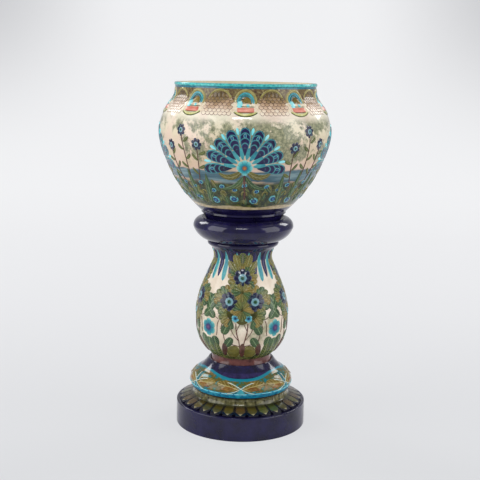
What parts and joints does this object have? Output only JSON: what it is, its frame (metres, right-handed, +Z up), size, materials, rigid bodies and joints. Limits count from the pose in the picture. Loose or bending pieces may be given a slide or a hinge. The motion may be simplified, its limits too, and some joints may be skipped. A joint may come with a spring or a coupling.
{
  "type": "jardiniere on stand",
  "caption": "Wide glazed bowl that lifts off a baluster pedestal with a round cap, moulded base and low plinth drum, decorated in low relief.",
  "frame": {"origin": "middle of the underside of the plinth drum, on the floor", "axes": "+Z up along the axis of the stand and the bowl; the front faces -Y"},
  "size_m": [0.4744, 0.4744, 0.96],
  "materials": {
    "navy_glaze": "gloss",
    "olive_glaze": "gloss",
    "sage_glaze": "gloss",
    "turquoise_glaze": "gloss",
    "brown_glaze": "gloss",
    "cream_glaze": "gloss",
    "leaf_glaze": "gloss",
    "coral_glaze": "gloss",
    "net_glaze": "gloss"
  },
  "bodies": {
    "stand": {"plinth_drum": "navy_glaze", "gadroon_ring": "olive_glaze", "fluted_ring": "sage_glaze", "base_moulding": "turquoise_glaze", "foot_ring": "brown_glaze", "baluster_stem": "cream_glaze", "neck_flange": "navy_glaze", "cap_ring": "navy_glaze", "bouquet_foliage": "olive_glaze", "stem_rosettes": "navy_glaze", "stem_posies": "turquoise_glaze", "stem_flowers": "turquoise_glaze", "stem_leaves": "leaf_glaze", "stem_hearts": "olive_glaze", "stem_buds": "brown_glaze", "stem_spears": "turquoise_glaze", "base_straps": "turquoise_glaze", "base_scrolls": "olive_glaze"},
    "jardiniere": {"bowl": "cream_glaze", "rim_arches": "olive_glaze", "rim_fans": "turquoise_glaze", "rim_pads": "coral_glaze", "rim_crescents": "olive_glaze", "rim_nets": "net_glaze", "bloom_petals": "navy_glaze", "bloom_hearts": "turquoise_glaze", "belly_blades": "leaf_glaze", "belly_roundels": "turquoise_glaze"}
  },
  "joints": [
    {"name": "bowl_lift", "type": "slide", "parent": "stand", "child": "jardiniere", "axis": [0, 0, 1], "range_m": [0, 0.15]}
  ]
}
